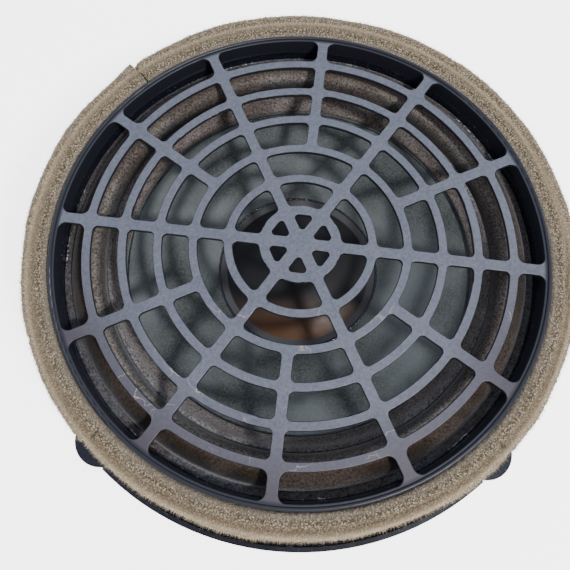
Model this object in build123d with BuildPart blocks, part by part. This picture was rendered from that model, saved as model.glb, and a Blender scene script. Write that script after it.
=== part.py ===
from build123d import *
import os
from math import cos, radians, sin, tan

# Car loudspeaker driver with a moulded basket and a web grille.
# Z = 0 is the back face of the mounting flange, +Z points out of the front, and the X axis
# lies half-way between two mounting lugs.  Sizes are in millimetres.

# ---- Rim, grille and foam strip
rim_radius = 100.0
face_height = 29.5            # grille's front face above the flange's back face
rim_width = 2.5
rim_bead_width = 1.6
rim_bead_height = 0.8
skirt_depth = 7.0
web_thickness = 1.5
web_turn = 55.25              # direction of the first full-length spoke, degrees
slot_rows = 6
full_rows = 4                 # rows, from the rim, that have short spokes as well
long_spokes = 6
ring_width = 3.53
spoke_width = 4.6
slot_corner = 1.9
rim_corner = 3.0
hub_radius = 16.6
hub_hole_inner = 4.9
hub_hole_outer = 12.3
hub_hole_corner = 1.3
web_edge_round = 0.4
tongue_width = 1.0
tongue_depth = 1.6
tongue_clearance = 0.15
foam_thickness = 10.0
foam_drop = 1.2               # foam's front edge below the grille's face
foam_round = 3.0
foam_seam_angle = 132.8
foam_seam_gap = 1.0
foam_film = 0.2               # adhesive film between the rim and the foam

# ---- Basket
wall_thickness = 3.0
flange_thickness = 2.5
flange_overhang = 6.4         # flange beyond the foam
lip_width = 1.8
lip_height = 2.0
rib_count = 16
rib_width = 1.8
lug_count = 4
lug_angle = 45.0
lug_reach = 9.0               # lug's centre beyond the rim
lug_radius = 11.0
lug_thickness = 3.5
lug_gap = 0.5                 # between a lug's edge and the ends of the lip
lug_hole_radius = 2.25
lug_hole_gap = 0.55           # between the foam and a lug hole
ledge_width = 6.0
ledge_thickness = 2.5
dish_thickness = 3.2
arm_count = 6
arm_width = 12.0
arm_first = 30.0
gusset_width = 3.0
window_corner = 4.0
window_inner_gap = 4.5        # solid band between the spider cup and each window
window_outer_gap = 6.0
cup_wall = 3.0
floor_thickness = 3.0
floor_hole_gap = 4.5          # floor's hole beyond the front plate's bore

# ---- Diaphragm
surround_recess = 11.4        # surround's flange below the grille's face
surround_thickness = 0.6
surround_flange = 3.5
roll_width = 13.1
roll_height = 5.0
leg_width = 3.0
lap_width = 2.9
cone_edge_overlap = 0.3
cone_edge_drop = 8.0          # cone's edge below the surround's flange
cone_depth = 18.0
cone_thickness = 0.8
bond_gap = 0.3
cap_radius = 35.0
cap_flange = 2.8
cap_rise = 8.0
cap_thickness = 0.5
bead_width = 1.6              # glue beads at the wall, the dust cap and the neck
edge_bead_width = 0.9
edge_bead_height = 0.5

# ---- Spider and voice coil
coil_bore_radius = 24.7
former_thickness = 0.3
winding_thickness = 1.0
winding_length = 14.0
spider_drop = 7.3             # spider below the cone's neck
spider_thickness = 0.6
spider_land = 5.0
spider_outer_radius = 49.3
spider_inner_land = 2.0
spider_waves = 4
spider_wave_height = 0.9      # from the spider's plane to each crest
spider_clearance = 5.8        # space under the spider

# ---- Magnet system
front_plate_thickness = 6.0
screw_wall = 13.5             # front plate's bore to the screws
plate_margin = 7.0            # screws to the front plate's edge
magnet_thickness = 17.0
magnet_overhang = 3.0         # magnet beyond the front plate, inside and outside
yoke_inset = 4.0              # yoke's edge inside the magnet's
yoke_thickness = 6.0
pole_clearance = 0.4
gap_clearance = 0.5
vent_radius = 6.0
edge_chamfer = 1.0
screw_count = 4
screw_radius = 2.0
screw_head_radius = 3.6
screw_head_height = 2.2
screw_depth = 5.0
screw_clearance = 0.2
screw_slot_width = 0.9

# ---- Terminals and leads
terminal_angle = 90.0
pad_inset = 13.0              # pad's outer face inside the wall
pad_width = 28.0
pad_height = 13.0
pad_thickness = 3.0
pad_overlap = 1.0             # pad's run into the arm
terminal_room = 4.0           # clear space in front of the pad
board_margin = 1.0
board_thickness = 1.6
tab_spacing = 12.0
positive_tab_width = 6.3
negative_tab_width = 4.8
tab_thickness = 0.8
tab_foot = 8.0
tab_blade = 9.0
tab_point = 1.2
rivet_radius = 1.2
rivet_head_radius = 2.0
rivet_head_height = 0.6
rivet_clearance = 0.05
lead_radius = 0.8
lead_slack = 3.0              # lead's path beside the pad
lead_lift = 2.4               # lead's start above the pad's middle
lead_rise = 5.0               # lead's path over the pad
lead_spans = (13.0, 26.0, 38.0)     # inward runs from the pad, on the way to the cone
lead_droops = (3.5, 2.5, 1.0)       # height over the cone's neck at each run
lead_widths = (1.5, -1.0, -4.0)     # sideways from the path beside the pad
anchor_radius = 2.0
anchor_gap = 8.0              # anchors beyond the cone's neck
anchor_spread = 16.0          # degrees either side of the terminals

# ---- Worked out from the sizes above
slot_outer = rim_radius - rim_width
slot_pitch = (slot_outer - hub_radius + ring_width) / slot_rows
wall_inner = rim_radius - wall_thickness
wall_top = face_height - skirt_depth
tongue_radius = rim_radius - rim_width / 2
foam_outer = rim_radius + foam_thickness
flange_radius = foam_outer + flange_overhang
lip_top = flange_thickness + lip_height
foam_bottom = lip_top + foam_film
surround_plane = face_height - surround_recess
ledge_top = surround_plane - surround_thickness
surround_outer = wall_inner - foam_film
roll_outer = surround_outer - surround_flange
roll_inner = roll_outer - roll_width
lap_outer = roll_inner - leg_width
lap_inner = lap_outer - lap_width
cone_edge_radius = lap_outer + cone_edge_overlap
cone_edge_z = surround_plane - cone_edge_drop
neck_radius = coil_bore_radius + former_thickness
neck_z = cone_edge_z - cone_depth
cone_slope = cone_depth / (cone_edge_radius - neck_radius)
spider_plane = neck_z - spider_drop
floor_top = spider_plane - spider_clearance
front_plate_top = floor_top - floor_thickness
magnet_top = front_plate_top - front_plate_thickness
magnet_bottom = magnet_top - magnet_thickness
back_z = magnet_bottom - yoke_thickness
cup_outer = spider_outer_radius + bond_gap + cup_wall
winding_outer = neck_radius + winding_thickness
plate_bore = winding_outer + gap_clearance
pole_radius = coil_bore_radius - pole_clearance
screw_circle = plate_bore + screw_wall
front_plate_radius = screw_circle + plate_margin
magnet_radius = front_plate_radius + magnet_overhang
magnet_bore_radius = plate_bore + magnet_overhang
yoke_radius = magnet_radius - yoke_inset
lug_centre_radius = rim_radius + lug_reach
lug_hole_circle = foam_outer + lug_hole_radius + lug_hole_gap
pad_radius = wall_inner - pad_inset
anchor_circle = neck_radius + anchor_gap
dish_rise = flange_thickness - spider_plane
dish_slope = dish_rise / (wall_inner - cup_outer)


def cone_z(radius):
    """Height of the cone's front face at a radius."""
    return neck_z + (radius - neck_radius) * cone_slope


def dish_z(radius):
    """Height of the basket dish's front face at a radius."""
    return spider_plane + (radius - cup_outer) * dish_slope


pad_bottom = dish_z(pad_radius) - dish_thickness + pad_overlap - pad_height
terminal_plane = Plane.XY.rotated((0, 0, terminal_angle))
pad_face = Plane(
    origin=terminal_plane.from_local_coords((pad_radius, 0, pad_bottom + pad_height / 2)),
    x_dir=terminal_plane.y_dir,
    z_dir=terminal_plane.x_dir,
)


def ring_of_slots(inner, outer, count, first_bar, bar_width, corner):
    """A sketch of annular slots, with straight bars of one width left between them."""
    with BuildSketch() as slots:
        Circle(outer)
        Circle(inner, mode=Mode.SUBTRACT)
        with PolarLocations(outer / 2, count, start_angle=first_bar):
            Rectangle(outer * 1.2, bar_width, mode=Mode.SUBTRACT)
        fillet(slots.vertices(), corner)
    return slots.sketch


def turned(outline):
    """A ring made by turning closed outline points (radius, height) about the Z axis."""
    with BuildPart() as ring:
        with BuildSketch(Plane.XZ):
            with BuildLine():
                Polyline(*outline, close=True)
            make_face()
        revolve(axis=Axis.Z)
    return ring.part


# ---- Front grille: web, rim ring, skirt and tongue in one moulding
with BuildPart() as front_grille:
    with BuildSketch(Plane.XZ):
        with BuildLine():
            bead_inner = rim_radius - rim_bead_width
            bead_top = face_height + rim_bead_height
            Polyline(
                (0, face_height - web_thickness),
                (slot_outer, face_height - web_thickness),
                (slot_outer, wall_top),
                (tongue_radius - tongue_width / 2, wall_top),
                (tongue_radius - tongue_width / 2, wall_top - tongue_depth),
                (tongue_radius + tongue_width / 2, wall_top - tongue_depth),
                (tongue_radius + tongue_width / 2, wall_top),
                (rim_radius, wall_top),
                (rim_radius, face_height),
            )
            ThreePointArc(
                (rim_radius, face_height),
                (rim_radius - rim_bead_width / 2, bead_top),
                (bead_inner, face_height),
            )
            Polyline((bead_inner, face_height), (0, face_height), (0, face_height - web_thickness))
        make_face()
    revolve(axis=Axis.Z)
    for row in range(slot_rows):
        row_outer = slot_outer - row * slot_pitch
        bars = 2 * long_spokes if row < full_rows else long_spokes
        corner = rim_corner if row == 0 else slot_corner
        with BuildSketch(Plane.XY.offset(face_height - web_thickness)):
            add(
                ring_of_slots(
                    row_outer - slot_pitch + ring_width, row_outer, bars, web_turn, spoke_width, corner
                )
            )
        extrude(amount=web_thickness + rim_bead_height, mode=Mode.SUBTRACT)
    half_side = (hub_hole_outer - hub_hole_inner) * tan(radians(180 / long_spokes))
    with BuildSketch() as hub_hole:
        with BuildLine():
            Polyline(
                (hub_hole_inner, 0),
                (hub_hole_outer, -half_side),
                (hub_hole_outer, half_side),
                close=True,
            )
        make_face()
        fillet(hub_hole.vertices(), hub_hole_corner)
    with BuildSketch(Plane.XY.offset(face_height - web_thickness)):
        with PolarLocations(0, long_spokes, start_angle=web_turn + 180 / long_spokes):
            add(hub_hole.sketch)
    extrude(amount=web_thickness, mode=Mode.SUBTRACT)
    web_face = front_grille.faces().filter_by(Axis.Z).group_by(Axis.Z)[-1].sort_by(SortBy.AREA)[-1]
    fillet([edge for slot in web_face.inner_wires() for edge in slot.edges()], web_edge_round)
front_grille.part.label = "front_grille"


# ---- Basket: front wall, flange, lugs, ribs, surround ledge, dish with arms, cup and floor
floor_hole_radius = plate_bore + floor_hole_gap
gusset_outer = wall_inner - 1
groove_outer = tongue_radius + tongue_width / 2 + tongue_clearance
groove_inner = tongue_radius - tongue_width / 2 - tongue_clearance
groove_floor = wall_top - tongue_depth - tongue_clearance
with BuildPart() as basket:
    with BuildSketch(Plane.XZ):
        with BuildLine():
            Polyline(
                (wall_inner, wall_top),
                (wall_inner, ledge_top),
                (wall_inner - ledge_width, ledge_top),
                (wall_inner - ledge_width, ledge_top - ledge_thickness),
                (wall_inner, ledge_top - ledge_thickness * 2),
                (wall_inner, flange_thickness),
                (cup_outer, spider_plane),
                (spider_outer_radius - spider_land, spider_plane),
                (spider_outer_radius - spider_land, spider_plane - ledge_thickness),
                (cup_outer - cup_wall, spider_plane - ledge_thickness),
                (cup_outer - cup_wall, floor_top),
                (floor_hole_radius, floor_top),
                (floor_hole_radius, front_plate_top),
                (cup_outer, front_plate_top),
                (cup_outer, spider_plane - dish_thickness),
                (wall_inner, flange_thickness - dish_thickness),
                (wall_inner, 0),
                (flange_radius, 0),
                (flange_radius, flange_thickness),
                (rim_radius, flange_thickness),
                (rim_radius, wall_top),
                (groove_outer, wall_top),
                (groove_outer, groove_floor),
                (groove_inner, groove_floor),
                (groove_inner, wall_top),
                close=True,
            )
        make_face()
    revolve(axis=Axis.Z)
    with BuildSketch():
        with PolarLocations(lug_centre_radius, lug_count, start_angle=lug_angle):
            Circle(lug_radius)
    extrude(amount=lug_thickness)
    with BuildSketch():
        with PolarLocations(lug_hole_circle, lug_count, start_angle=lug_angle):
            Circle(lug_hole_radius)
    extrude(amount=lug_thickness, mode=Mode.SUBTRACT)
    # A raised lip and radial ribs stiffen the flange; both stop at the flat lugs.
    rib_inner = rim_radius - wall_thickness / 4
    rib_length = flange_radius - lip_width / 2 - rib_inner
    with BuildSketch(Plane.XY.offset(flange_thickness)):
        Circle(flange_radius)
        Circle(flange_radius - lip_width, mode=Mode.SUBTRACT)
        with PolarLocations(rib_inner + rib_length / 2, rib_count):
            Rectangle(rib_length, rib_width)
        with PolarLocations(lug_centre_radius, lug_count, start_angle=lug_angle):
            Circle(lug_radius + lug_gap, mode=Mode.SUBTRACT)
    extrude(amount=lip_height)
    # Windows through the dish leave the arms.
    with BuildSketch(Plane.XY.offset(spider_plane - dish_thickness)):
        add(
            ring_of_slots(
                cup_outer + window_inner_gap,
                wall_inner - window_outer_gap,
                arm_count,
                arm_first,
                arm_width,
                window_corner,
            )
        )
    extrude(amount=dish_rise + dish_thickness, mode=Mode.SUBTRACT)
    # A tapered gusset stiffens the back of each arm.
    for arm in range(arm_count):
        along = Plane.XY.rotated((0, 0, arm_first + arm * 360 / arm_count)).x_dir
        with BuildSketch(Plane(origin=(0, 0, 0), x_dir=along, z_dir=along.cross(Vector(0, 0, 1)))):
            with BuildLine():
                Polyline(
                    (cup_outer - cup_wall / 2, front_plate_top),
                    (cup_outer - cup_wall / 2, spider_plane - ledge_thickness),
                    (gusset_outer, dish_z(gusset_outer) - dish_thickness / 2),
                    (gusset_outer, dish_z(gusset_outer) - dish_thickness),
                    close=True,
                )
            make_face()
        extrude(amount=gusset_width / 2, both=True)
    # The terminal board's pad hangs from the back of one arm.
    with BuildSketch(Plane.XY.offset(pad_bottom)):
        with PolarLocations(pad_radius - pad_thickness / 2, 1, start_angle=terminal_angle):
            Rectangle(pad_thickness, pad_width)
    extrude(amount=pad_height)
    with BuildSketch(pad_face):
        with GridLocations(tab_spacing, 1, 2, 1):
            Circle(rivet_radius + rivet_clearance)
    extrude(amount=-pad_thickness, mode=Mode.SUBTRACT)
    with BuildSketch(pad_face):
        Rectangle(pad_width, pad_height)
    extrude(amount=terminal_room, mode=Mode.SUBTRACT)
    with BuildSketch(Plane.XY.offset(floor_top)):
        with PolarLocations(screw_circle, screw_count, start_angle=lug_angle):
            Circle(screw_radius + screw_clearance)
    extrude(amount=-floor_thickness, mode=Mode.SUBTRACT)
basket.part.label = "basket"


# ---- Foam strip round the rim, closed by a butt joint
foam_height = face_height - foam_drop - foam_bottom
with BuildPart() as foam_gasket:
    with BuildSketch(Plane.XZ) as strip:
        with Locations((rim_radius + foam_film, foam_bottom)):
            Rectangle(foam_thickness - foam_film, foam_height, align=(Align.MIN, Align.MIN))
        fillet(strip.vertices(), foam_round)
    revolve(axis=Axis.Z)
    with BuildSketch(Plane.XY.offset(foam_bottom)):
        with PolarLocations(rim_radius + foam_thickness / 2, 1, start_angle=foam_seam_angle):
            Rectangle(foam_thickness * 2, foam_seam_gap)
    extrude(amount=foam_height, mode=Mode.SUBTRACT)
foam_gasket.part.label = "foam_gasket"


# ---- Surround: flange, half roll, leg and the lap on the cone, in one thickness
with BuildPart() as surround:
    half = surround_thickness / 2
    middle = surround_plane - half
    lap_lift = bond_gap + half
    with BuildSketch(Plane.XZ):
        with BuildLine():
            Line((surround_outer - half, middle), (roll_outer, middle))
            ThreePointArc(
                (roll_outer, middle),
                ((roll_outer + roll_inner) / 2, middle + roll_height),
                (roll_inner, middle),
            )
            Polyline(
                (roll_inner, middle),
                (lap_outer, cone_z(lap_outer) + lap_lift),
                (lap_inner + half, cone_z(lap_inner + half) + lap_lift),
            )
            offset(amount=half, side=Side.BOTH)
        make_face()
    revolve(axis=Axis.Z)
surround.part.label = "surround"


# ---- Cone, dust cap and the glue beads that ride with them
with BuildPart() as cone:
    add(
        turned(
            [
                (neck_radius, neck_z),
                (cone_edge_radius, cone_edge_z),
                (cone_edge_radius, cone_edge_z - cone_thickness),
                (neck_radius, neck_z - cone_thickness),
            ]
        )
    )
cone.part.label = "cone"

dome_radius = cap_radius - cap_flange
dome_base = cone_z(dome_radius)
dome_curve = (dome_radius**2 + cap_rise**2) / (2 * cap_rise)
with BuildPart() as dust_cap:
    with BuildSketch(Plane.XZ):
        with BuildLine():
            RadiusArc((dome_radius, dome_base), (0, dome_base + cap_rise), -dome_curve)
            Line((0, dome_base + cap_rise), (0, dome_base + cap_rise + cap_thickness))
            RadiusArc(
                (0, dome_base + cap_rise + cap_thickness),
                (dome_radius, dome_base + cap_thickness),
                dome_curve,
            )
            Polyline(
                (dome_radius, dome_base + cap_thickness),
                (cap_radius, cone_z(cap_radius) + cap_thickness),
                (cap_radius, cone_z(cap_radius)),
                (dome_radius, dome_base),
            )
        make_face()
    revolve(axis=Axis.Z)
dust_cap.part.label = "dust_cap"

with BuildPart() as dust_cap_glue:
    bead_edge = cap_radius + bead_width
    add(
        turned(
            [
                (cap_radius, cone_z(cap_radius)),
                (bead_edge, cone_z(bead_edge)),
                (cap_radius, cone_z(cap_radius) + cap_thickness),
            ]
        )
    )
dust_cap_glue.part.label = "dust_cap_glue"

with BuildPart() as cone_edge_glue:
    bead_edge = lap_inner - bond_gap
    add(
        turned(
            [
                (bead_edge, cone_z(bead_edge)),
                (bead_edge, cone_z(bead_edge) + edge_bead_height),
                (bead_edge - edge_bead_width, cone_z(bead_edge - edge_bead_width)),
            ]
        )
    )
cone_edge_glue.part.label = "cone_edge_glue"

with BuildPart() as neck_glue:
    bead_edge = neck_radius + bead_width
    add(
        turned(
            [
                (neck_radius, neck_z),
                (bead_edge, cone_z(bead_edge)),
                (neck_radius, neck_z + bead_width),
            ]
        )
    )
neck_glue.part.label = "neck_glue"

with BuildPart() as surround_glue:
    add(
        turned(
            [
                (wall_inner, surround_plane),
                (wall_inner, surround_plane + bead_width),
                (wall_inner - bead_width, surround_plane),
            ]
        )
    )
surround_glue.part.label = "surround_glue"


# ---- Voice coil and spider
winding_top = (front_plate_top + magnet_top + winding_length) / 2
with BuildPart() as voice_coil_former:
    with BuildSketch(Plane.XY.offset(winding_top - winding_length)):
        Circle(neck_radius)
        Circle(coil_bore_radius, mode=Mode.SUBTRACT)
    extrude(amount=neck_z + bead_width - winding_top + winding_length)
voice_coil_former.part.label = "voice_coil_former"

with BuildPart() as voice_coil_winding:
    with BuildSketch(Plane.XY.offset(winding_top - winding_length)):
        Circle(winding_outer)
        Circle(neck_radius, mode=Mode.SUBTRACT)
    extrude(amount=winding_length)
voice_coil_winding.part.label = "voice_coil_winding"

spider_inner_radius = neck_radius + bond_gap
waves_outer = spider_outer_radius - spider_land
waves_inner = spider_inner_radius + spider_inner_land
half_wave = (waves_outer - waves_inner) / (2 * spider_waves)
with BuildPart() as spider:
    with BuildSketch(Plane.XZ):
        for face_z in (spider_plane, spider_plane + spider_thickness):
            with BuildLine():
                Line((spider_outer_radius, face_z), (waves_outer, face_z))
                for wave in range(2 * spider_waves):
                    start = waves_outer - wave * half_wave
                    side = 1 if wave % 2 == 0 else -1
                    ThreePointArc(
                        (start, face_z),
                        (start - half_wave / 2, face_z + side * spider_wave_height),
                        (start - half_wave, face_z),
                    )
                Line((waves_inner, face_z), (spider_inner_radius, face_z))
        with BuildLine():
            for edge_radius in (spider_outer_radius, spider_inner_radius):
                Line((edge_radius, spider_plane), (edge_radius, spider_plane + spider_thickness))
        make_face()
    revolve(axis=Axis.Z)
spider.part.label = "spider"

with BuildPart() as spider_glue:
    bead_base = spider_plane + spider_thickness + bond_gap
    add(
        turned(
            [
                (neck_radius, bead_base),
                (neck_radius + bead_width, bead_base),
                (neck_radius, bead_base + bead_width),
            ]
        )
    )
spider_glue.part.label = "spider_glue"


# ---- Magnet system and its screws
with BuildPart() as front_plate:
    with BuildSketch(Plane.XY.offset(magnet_top)):
        Circle(front_plate_radius)
        Circle(plate_bore, mode=Mode.SUBTRACT)
    extrude(amount=front_plate_thickness)
    outer_edges = front_plate.edges().filter_by(GeomType.CIRCLE).group_by(SortBy.RADIUS)[-1]
    chamfer(outer_edges, edge_chamfer)
    with BuildSketch(Plane.XY.offset(front_plate_top)):
        with PolarLocations(screw_circle, screw_count, start_angle=lug_angle):
            Circle(screw_radius)
    extrude(amount=-screw_depth, mode=Mode.SUBTRACT)
front_plate.part.label = "front_plate"

with BuildPart() as magnet:
    with BuildSketch(Plane.XY.offset(magnet_bottom)):
        Circle(magnet_radius)
        Circle(magnet_bore_radius, mode=Mode.SUBTRACT)
    extrude(amount=magnet_thickness)
    outer_edges = magnet.edges().filter_by(GeomType.CIRCLE).group_by(SortBy.RADIUS)[-1]
    chamfer(outer_edges, edge_chamfer)
magnet.part.label = "magnet"

with BuildPart() as yoke:
    with BuildSketch(Plane.XZ) as half_section:
        with BuildLine():
            Polyline(
                (vent_radius, back_z),
                (yoke_radius, back_z),
                (yoke_radius, magnet_bottom),
                (pole_radius, magnet_bottom),
                (pole_radius, front_plate_top),
                (vent_radius, front_plate_top),
                close=True,
            )
        make_face()
        back_corners = half_section.vertices().group_by(Axis.Y)[0]
        chamfer(back_corners, 2 * edge_chamfer)
        pole_corner = half_section.vertices().group_by(Axis.Y)[-1].sort_by(Axis.X)[-1]
        chamfer(pole_corner, edge_chamfer / 2)
    revolve(axis=Axis.Z)
yoke.part.label = "yoke"

with BuildPart() as motor_screws:
    with BuildSketch(Plane.XY.offset(floor_top)):
        with PolarLocations(screw_circle, screw_count, start_angle=lug_angle):
            Circle(screw_head_radius)
    extrude(amount=screw_head_height)
    head_rims = motor_screws.edges().filter_by(GeomType.CIRCLE).group_by(Axis.Z)[-1]
    fillet(head_rims, screw_head_height / 3)
    with BuildSketch(Plane.XY.offset(floor_top)):
        with PolarLocations(screw_circle, screw_count, start_angle=lug_angle):
            Circle(screw_radius)
    extrude(amount=-(floor_thickness + screw_depth))
    with BuildSketch(Plane.XY.offset(floor_top + screw_head_height)):
        with PolarLocations(screw_circle, screw_count, start_angle=lug_angle):
            Rectangle(screw_radius * 2, screw_slot_width)
            Rectangle(screw_slot_width, screw_radius * 2)
    extrude(amount=-screw_head_height / 2, mode=Mode.SUBTRACT)
motor_screws.part.label = "motor_screws"


# ---- Terminals: board, two tabs, their rivets and the leads to the cone
board_height = pad_height - 2 * board_margin
with BuildPart() as terminal_board:
    with BuildSketch(pad_face):
        RectangleRounded(pad_width - 2 * board_margin, board_height, board_margin)
        with GridLocations(tab_spacing, 1, 2, 1):
            Circle(rivet_radius + rivet_clearance, mode=Mode.SUBTRACT)
    extrude(amount=board_thickness)
terminal_board.part.label = "terminal_board"

board_face = pad_face.offset(board_thickness)


def terminal_tab(side, width):
    """A flat push-on tab, with its riveted foot on the board and its blade pointing back."""
    foot_top = tab_foot / 2
    tip = -foot_top - tab_blade
    with BuildPart() as tab:
        with BuildSketch(board_face):
            with BuildLine():
                Polyline(
                    (side - width / 2, foot_top),
                    (side + width / 2, foot_top),
                    (side + width / 2, tip + tab_point),
                    (side + width / 2 - tab_point, tip),
                    (side - width / 2 + tab_point, tip),
                    (side - width / 2, tip + tab_point),
                    close=True,
                )
            make_face()
            with Locations((side, 0)):
                Circle(rivet_radius + rivet_clearance, mode=Mode.SUBTRACT)
            with Locations((side, tip + tab_blade / 2)):
                Circle(width / 6, mode=Mode.SUBTRACT)
        extrude(amount=tab_thickness)
    return tab.part


rivet_grip = pad_thickness + board_thickness + tab_thickness
with BuildPart() as terminal_rivets:
    for plane, length in (
        (pad_face.offset(-pad_thickness - rivet_head_height), rivet_head_height),
        (board_face.offset(tab_thickness), rivet_head_height),
    ):
        with BuildSketch(plane):
            with GridLocations(tab_spacing, 1, 2, 1):
                Circle(rivet_head_radius)
        extrude(amount=length)
    with BuildSketch(pad_face.offset(-pad_thickness)):
        with GridLocations(tab_spacing, 1, 2, 1):
            Circle(rivet_radius)
    extrude(amount=rivet_grip)
terminal_rivets.part.label = "terminal_rivets"


def bend_radii(route):
    """The largest arc that each corner's two runs allow, as 0.45 of the shorter run."""
    radii = []
    for before, corner, after in zip(route, route[1:], route[2:]):
        run_in = Vector(*corner) - Vector(*before)
        run_out = Vector(*after) - Vector(*corner)
        half_turn = radians(run_in.get_angle(run_out) / 2)
        radii.append(0.45 * min(run_in.length, run_out.length) / tan(half_turn))
    return radii


def tinsel_lead(side):
    """A braided lead from a tab's foot, round the pad, through a window and up to the cone."""
    tab_front = pad_radius + board_thickness + tab_thickness + lead_radius
    pad_middle = pad_bottom + pad_height / 2
    end_radius = anchor_circle + anchor_radius + bond_gap
    end_z = cone_z(end_radius) - cone_thickness - lead_radius - bond_gap
    end_r = end_radius * cos(radians(anchor_spread))
    end_s = end_radius * sin(radians(anchor_spread))
    start_side = tab_spacing / 2 + rivet_head_radius + lead_radius
    clear_side = pad_width / 2 + lead_slack
    pad_front = pad_radius - pad_thickness - anchor_radius
    route = [
        (tab_front, side * start_side, pad_middle + lead_lift),
        (tab_front, side * clear_side, pad_middle + lead_lift),
        (pad_front, side * (clear_side + lead_slack), pad_middle + lead_rise),
    ]
    for span, droop, width in zip(lead_spans, lead_droops, lead_widths):
        route.append((pad_radius - span, side * (clear_side + width), neck_z + droop))
    route.append((end_r, side * end_s, end_z))
    with BuildPart() as lead:
        with BuildLine(terminal_plane) as path:
            FilletPolyline(*route, radius=bend_radii(route))
        with BuildSketch(Plane(origin=path.line @ 0, z_dir=path.line % 0)):
            Circle(lead_radius)
        sweep()
    return lead.part


# Each anchor is the half of a bead that stands out of the cone's back.
with BuildPart() as lead_anchors:
    bead_inner = anchor_circle - 2 * anchor_radius
    bead_outer = anchor_circle + 2 * anchor_radius
    for side in (-1, 1):
        anchor_plane = Plane.XY.rotated((0, 0, terminal_angle + side * anchor_spread))
        with Locations(
            anchor_plane.from_local_coords((anchor_circle, 0, cone_z(anchor_circle) - cone_thickness))
        ):
            Sphere(anchor_radius)
    add(
        turned(
            [
                (bead_inner, cone_z(bead_inner) - cone_thickness),
                (bead_outer, cone_z(bead_outer) - cone_thickness),
                (bead_outer, cone_z(bead_outer) + 2 * anchor_radius),
                (bead_inner, cone_z(bead_inner) + 2 * anchor_radius),
            ]
        ),
        mode=Mode.SUBTRACT,
    )
lead_anchors.part.label = "lead_anchors"


# ---- One STEP file for each piece
pieces = [
    basket,
    front_grille,
    foam_gasket,
    surround,
    surround_glue,
    cone,
    cone_edge_glue,
    dust_cap,
    dust_cap_glue,
    neck_glue,
    voice_coil_former,
    voice_coil_winding,
    spider,
    spider_glue,
    lead_anchors,
    front_plate,
    magnet,
    yoke,
    motor_screws,
    terminal_board,
    terminal_rivets,
]
solids = {piece.part.label: piece.part for piece in pieces}
for name, side, width in (("positive", 1, positive_tab_width), ("negative", -1, negative_tab_width)):
    tab = terminal_tab(side * tab_spacing / 2, width)
    tab.label = f"terminal_tab_{name}"
    lead = tinsel_lead(side)
    lead.label = f"tinsel_lead_{name}"
    solids[tab.label] = tab
    solids[lead.label] = lead
os.makedirs("parts", exist_ok=True)
for name, solid in solids.items():
    export_step(solid, f"parts/{name}.step")
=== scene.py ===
"""Looks for the car loudspeaker driver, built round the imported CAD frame."""

import math

import bpy
import numpy as np
from mathutils import Matrix, Vector, noise


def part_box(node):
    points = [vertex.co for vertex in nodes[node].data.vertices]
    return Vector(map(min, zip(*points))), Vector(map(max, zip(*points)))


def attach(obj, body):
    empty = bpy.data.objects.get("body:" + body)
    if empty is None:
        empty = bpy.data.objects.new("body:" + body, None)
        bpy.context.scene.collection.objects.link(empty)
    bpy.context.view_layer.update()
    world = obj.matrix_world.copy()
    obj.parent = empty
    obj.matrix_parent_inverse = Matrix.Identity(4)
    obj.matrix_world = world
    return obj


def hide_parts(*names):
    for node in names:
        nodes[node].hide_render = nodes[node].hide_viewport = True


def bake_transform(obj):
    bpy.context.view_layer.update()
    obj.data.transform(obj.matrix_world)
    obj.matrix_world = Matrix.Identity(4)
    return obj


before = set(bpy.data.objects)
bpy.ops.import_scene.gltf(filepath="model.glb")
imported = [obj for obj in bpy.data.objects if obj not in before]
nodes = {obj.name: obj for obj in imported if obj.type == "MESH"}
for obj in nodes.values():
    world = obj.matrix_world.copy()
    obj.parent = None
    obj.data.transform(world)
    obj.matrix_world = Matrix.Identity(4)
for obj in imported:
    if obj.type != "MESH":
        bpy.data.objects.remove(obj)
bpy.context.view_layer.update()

MM = 0.001
TAU = 2 * math.pi
SKY_STRENGTH = 1.45
KEY_POWER = 14.5
KEY_PLACE = (0.44, -0.46, 0.84)
KEY_SIZE = 0.14
FLOOR_GLOW = 3.2
FLOOR_HALF = 12.0


# ---------------------------------------------------------------- places read from the frame
def top(node):
    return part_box(node)[1].z


def bottom(node):
    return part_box(node)[0].z


def outer(node):
    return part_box(node)[1].x


def radii_of(node):
    co = np.array([v.co for v in nodes[node].data.vertices])
    reach = np.hypot(co[:, 0], co[:, 1])
    return reach.min(), reach.max()


RIM_BEAD = 0.8 * MM
FACE_Z = top("front_grille") - RIM_BEAD
RIM_R = outer("front_grille")
WALL_R = radii_of("surround_glue")[1]
FOAM_IN, FOAM_OUT = radii_of("foam_gasket")
FOAM_LOW, FOAM_TOP = bottom("foam_gasket"), top("foam_gasket")
SURROUND_Z = bottom("surround_glue")
CONE_NECK_R, CONE_EDGE_R = radii_of("cone")
CONE_EDGE_Z = top("cone")
CONE_THICK = 0.8 * MM
CONE_NECK_Z = bottom("cone") + CONE_THICK
CAP_R = radii_of("dust_cap")[1]
SPIDER_IN, SPIDER_OUT = radii_of("spider")
SURROUND_FLANGE = 3.7 * MM
ROLL_WIDTH = 12.4 * MM
RIDGE_GAP = 1.5 * MM
FLANGE_IN = WALL_R - SURROUND_FLANGE
ROLL_IN = FLANGE_IN - ROLL_WIDTH
RIDGE_R = ROLL_IN - RIDGE_GAP


def cone_z(r):
    return CONE_NECK_Z + (r - CONE_NECK_R) * (CONE_EDGE_Z - CONE_NECK_Z) / (CONE_EDGE_R - CONE_NECK_R)


# ---------------------------------------------------------------- camera, lights and floor
CAMERA_LENS = 35.55
CAMERA_TARGET = Vector((-5.6 * MM, -17.7 * MM, FACE_Z))
CAMERA_DISTANCE = 219.5 * MM
CAMERA_ELEVATION = math.radians(72.8)
CAMERA_ROLL = math.radians(1.93)


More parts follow.
